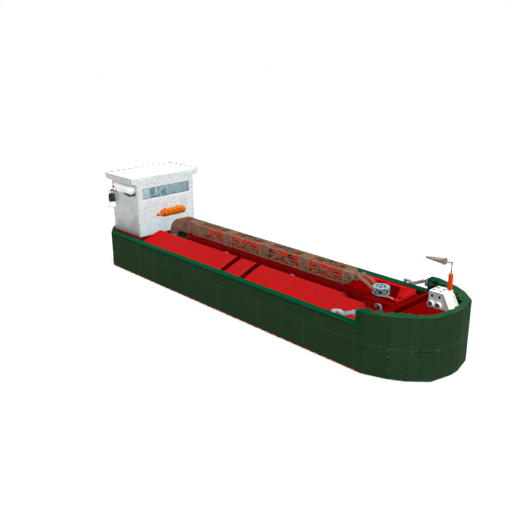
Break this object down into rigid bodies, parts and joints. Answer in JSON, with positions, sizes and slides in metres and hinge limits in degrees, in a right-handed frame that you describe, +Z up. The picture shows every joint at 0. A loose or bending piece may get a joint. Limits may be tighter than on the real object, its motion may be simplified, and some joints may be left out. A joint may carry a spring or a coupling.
{
  "type": "oil tanker",
  "caption": "Flat-bottomed harbour oil tanker with raised tank covers, a hinged lattice loading boom with a pump head, an aft wheelhouse and a high bow bulwark.",
  "frame": {"origin": "middle of the flat bottom, under the centre of the bounding box", "axes": "+X forward to the bow, +Y to port, +Z up"},
  "size_m": [27.78, 6.82, 6.75],
  "materials": {
    "hull_green": "satin paint over steel plate",
    "bottom_red": "matt bottom paint",
    "deck_red": "matt non-slip paint",
    "cover_red": "satin paint",
    "boom_brown": "weathered paint",
    "fitting_grey": "satin paint",
    "wall_white": "mottled satin paint",
    "gear_white": "weathered moulding",
    "glass": "clear",
    "console_teal": "satin paint",
    "rescue_orange": "smooth moulding",
    "mast_orange": "satin paint",
    "lamp_black": "matt paint",
    "sock_cloth": "woven cloth",
    "seat_dark": "fine grain",
    "bronze": "cast and ground",
    "engine_paint": "painted casting"
  },
  "bodies": {
    "hull": {"aft_deck": "deck_red", "boom_pedestal": "boom_brown", "bow_bulwark": "hull_green", "bow_housing": "wall_white", "breakwater": "deck_red", "bridge_floor": "console_teal", "engine_block": "engine_paint", "floodlight": "lamp_black", "floodlight_hood": "gear_white", "fore_deck": "deck_red", "hatch_frame_port": "cover_red", "hatch_frame_starboard": "cover_red", "helm_console": "console_teal", "helm_seat": "seat_dark", "helm_wheel": "seat_dark", "hull_bottom": "bottom_red", "hull_bow": "hull_green", "hull_cargo_block": "deck_red", "hull_side_port": "hull_green", "hull_side_starboard": "hull_green", "hull_stern": "hull_green", "raft_capsule": "gear_white", "rescue_canister": "rescue_orange", "side_locker_port": "cover_red", "side_locker_starboard": "cover_red", "signal_mast": "mast_orange", "tank_cover_port_aft": "cover_red", "tank_cover_port_fore": "cover_red", "tank_cover_port_middle": "cover_red", "tank_cover_starboard_aft": "cover_red", "tank_cover_starboard_fore": "cover_red", "tank_cover_starboard_middle": "cover_red", "wheelhouse_aft": "wall_white", "wheelhouse_front": "wall_white", "wheelhouse_port": "wall_white", "wheelhouse_roof": "wall_white", "wheelhouse_starboard": "wall_white", "window_glass_aft": "glass", "window_glass_front": "glass"},
    "boom": {"boom_root": "boom_brown", "boom_lattice": "boom_brown", "boom_head": "boom_brown"},
    "pump": {"hose_tube_port": "boom_brown", "hose_tube_starboard": "boom_brown", "pump_head": "fitting_grey"},
    "arm_starboard": {"swing_arm_starboard": "fitting_grey"},
    "arm_port": {"swing_arm_port": "fitting_grey"},
    "door": {"wheelhouse_door": "wall_white", "door_glass": "glass"},
    "propeller": {"propeller": "bronze"},
    "rudder": {"rudder": "hull_green"},
    "windsock": {"windsock": "sock_cloth", "windsock_frame": "fitting_grey"}
  },
  "joints": [
    {"name": "boom_luff", "type": "hinge", "parent": "hull", "child": "boom", "pos_m": [-7.09, 0, 3.39], "axis": [0, -1, 0], "range_deg": [0, 55]},
    {"name": "hose_knuckle", "type": "hinge", "parent": "boom", "child": "pump", "pos_m": [7.76, 0, 3.56], "axis": [0, -1, 0], "range_deg": [-10, 50]},
    {"name": "arm_starboard_swing", "type": "hinge", "parent": "hull", "child": "arm_starboard", "pos_m": [10.01, -3.12, 2.92], "axis": [0, 0, 1], "range_deg": [-28, 55]},
    {"name": "arm_port_swing", "type": "hinge", "parent": "hull", "child": "arm_port", "pos_m": [10.01, 3.12, 2.92], "axis": [0, 0, -1], "range_deg": [-28, 55]},
    {"name": "door_swing", "type": "hinge", "parent": "hull", "child": "door", "pos_m": [-11.37, 2.555, 2.6], "axis": [0, 0, -1], "range_deg": [0, 110]},
    {"name": "propeller_spin", "type": "hinge", "parent": "hull", "child": "propeller", "pos_m": [-12.81, 0, 0.66], "axis": [1, 0, 0], "continuous": true},
    {"name": "rudder_turn", "type": "hinge", "parent": "hull", "child": "rudder", "pos_m": [-13.37, 0, 1.22], "axis": [0, 0, 1], "range_deg": [-35, 35]},
    {"name": "windsock_swivel", "type": "hinge", "parent": "hull", "child": "windsock", "pos_m": [12.03, 2.11, 4.86], "axis": [0, 0, 1], "continuous": true}
  ]
}
